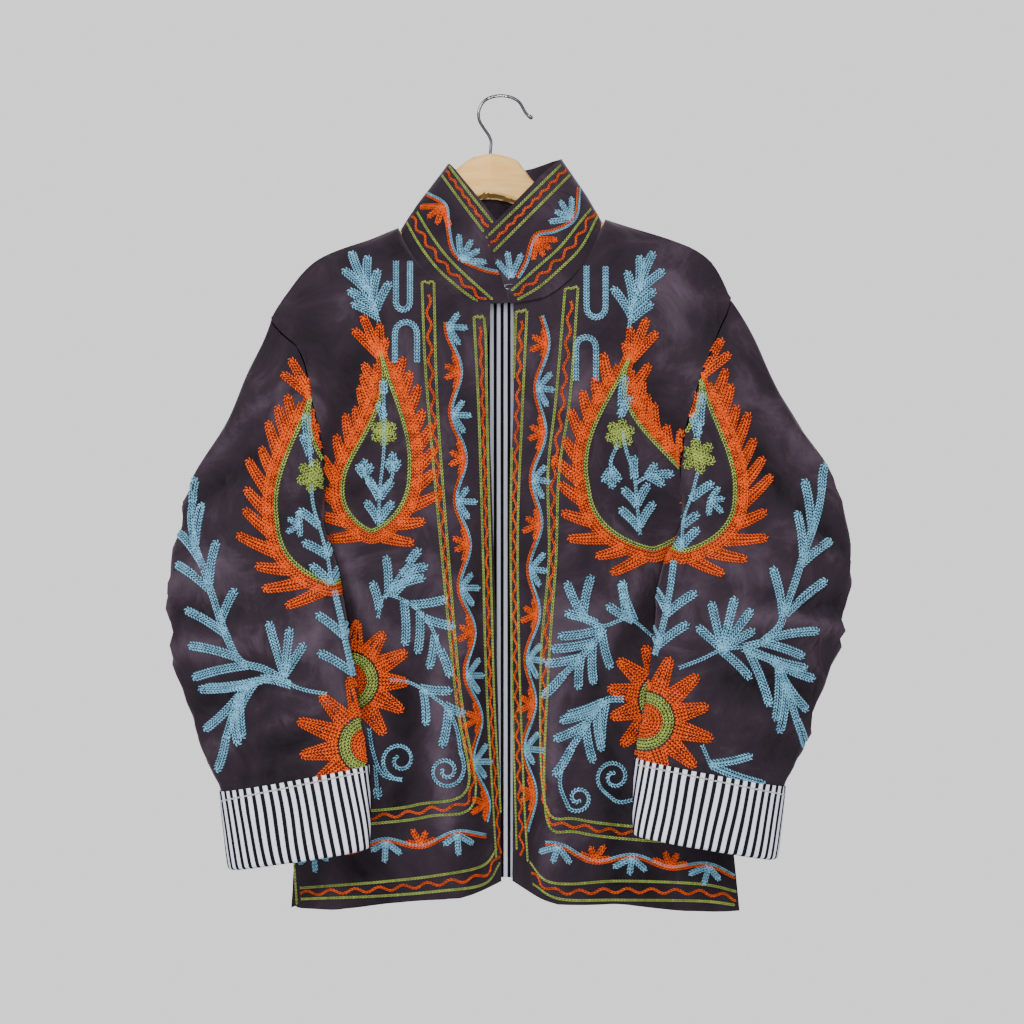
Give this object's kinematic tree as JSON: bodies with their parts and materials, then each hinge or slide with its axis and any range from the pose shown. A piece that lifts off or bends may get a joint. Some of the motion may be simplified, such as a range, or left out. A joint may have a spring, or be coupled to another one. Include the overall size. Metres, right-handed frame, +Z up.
{
  "type": "embroidered velvet jacket on a wooden hanger",
  "caption": "Velvet jacket with stand collar, wide sleeves and turned-back striped cuffs, open down the front, hanging from a wooden hanger with a wire hook.",
  "frame": {"origin": "inside top of the wire hook, where a nail or a rail carries it", "axes": "+Z up, +X to the right of a viewer who faces the jacket's front, +Y from the front to the back"},
  "size_m": [0.682, 0.1428, 0.8356],
  "materials": {
    "velvet": "soft pile, dull with a pale sheen at grazing angles",
    "striped_cotton": "plain weave, narrow dark and white stripes",
    "beech": "satin lacquer",
    "chrome": "polished"
  },
  "bodies": {
    "root": {"front_left": "velvet", "front_right": "velvet", "back": "velvet", "collar": "velvet", "sleeve_left": "velvet", "sleeve_right": "velvet", "lining_back": "striped_cotton", "cuff_left": "striped_cotton", "cuff_right": "striped_cotton", "hanger_wood": "beech", "hanger_hook": "chrome", "neck_hook": "chrome"}
  },
  "joints": []
}
